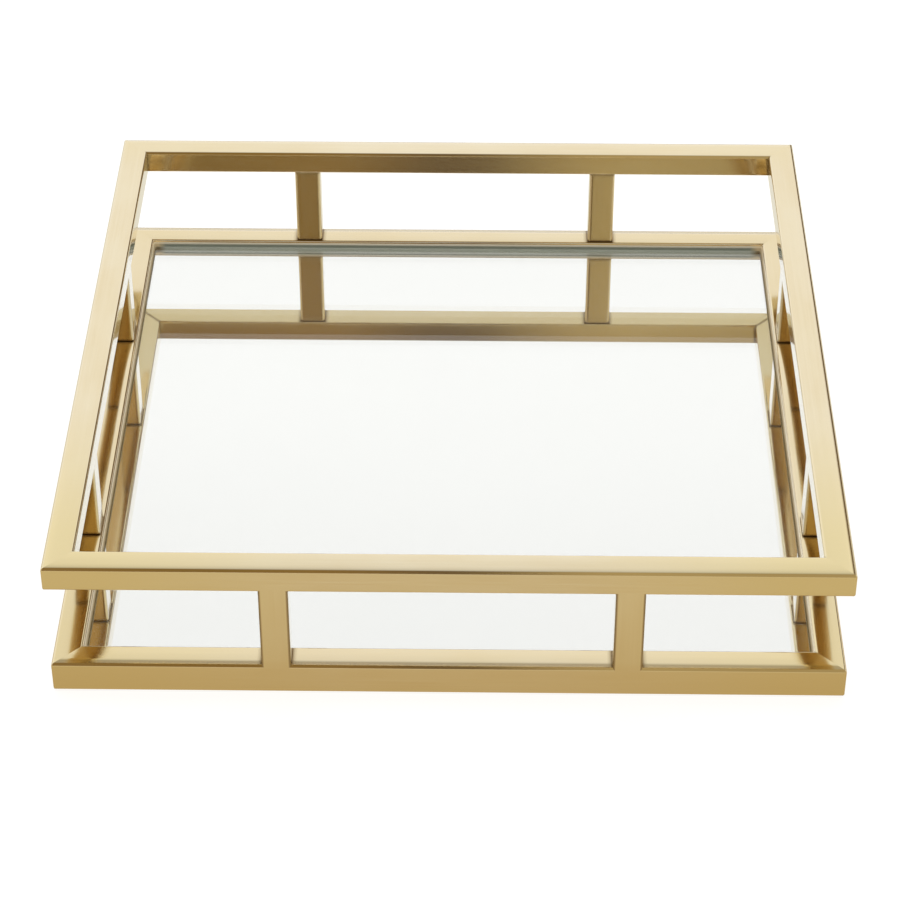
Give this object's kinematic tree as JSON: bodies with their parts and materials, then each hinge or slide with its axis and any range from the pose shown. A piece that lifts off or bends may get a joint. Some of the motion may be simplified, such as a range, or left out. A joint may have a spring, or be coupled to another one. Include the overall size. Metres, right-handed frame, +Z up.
{
  "type": "vanity tray",
  "caption": "Square gallery tray of gold square tube: a lower ring with an inset mirror floor, short posts and a raised open rail all round.",
  "frame": {"origin": "centre of the footprint, on the surface the tray stands on", "axes": "+Z up; +Y to the back and +X to the right, as seen from the front"},
  "size_m": [0.356, 0.356, 0.0715],
  "materials": {
    "gold_metal": "pale gold, brushed lengthwise and polished at the edges",
    "mirror": "clear float glass silvered on its back, green at the edge",
    "sealant": "translucent clear silicone",
    "backing": "fibreboard sealed in matt black",
    "tab_steel": "plated with the ring, dulled by the weld",
    "screw_steel": "zinc plated",
    "felt": "pressed wool felt"
  },
  "bodies": {
    "root": {"lower_rail_front": "gold_metal", "lower_rail_right": "gold_metal", "lower_rail_back": "gold_metal", "lower_rail_left": "gold_metal", "upper_rail_front": "gold_metal", "upper_rail_right": "gold_metal", "upper_rail_back": "gold_metal", "upper_rail_left": "gold_metal", "post_front_left": "gold_metal", "support_tab_front_left": "tab_steel", "tab_screw_front_left": "screw_steel", "post_front_right": "gold_metal", "support_tab_front_right": "tab_steel", "tab_screw_front_right": "screw_steel", "post_right_front": "gold_metal", "support_tab_right_front": "tab_steel", "tab_screw_right_front": "screw_steel", "post_right_back": "gold_metal", "support_tab_right_back": "tab_steel", "tab_screw_right_back": "screw_steel", "post_back_right": "gold_metal", "support_tab_back_right": "tab_steel", "tab_screw_back_right": "screw_steel", "post_back_left": "gold_metal", "support_tab_back_left": "tab_steel", "tab_screw_back_left": "screw_steel", "post_left_back": "gold_metal", "support_tab_left_back": "tab_steel", "tab_screw_left_back": "screw_steel", "post_left_front": "gold_metal", "support_tab_left_front": "tab_steel", "tab_screw_left_front": "screw_steel", "mirror_glass": "mirror", "sealant_bead": "sealant", "backing_board": "backing", "felt_pad_front_left": "felt", "felt_pad_front_right": "felt", "felt_pad_back_left": "felt", "felt_pad_back_right": "felt"}
  },
  "joints": []
}
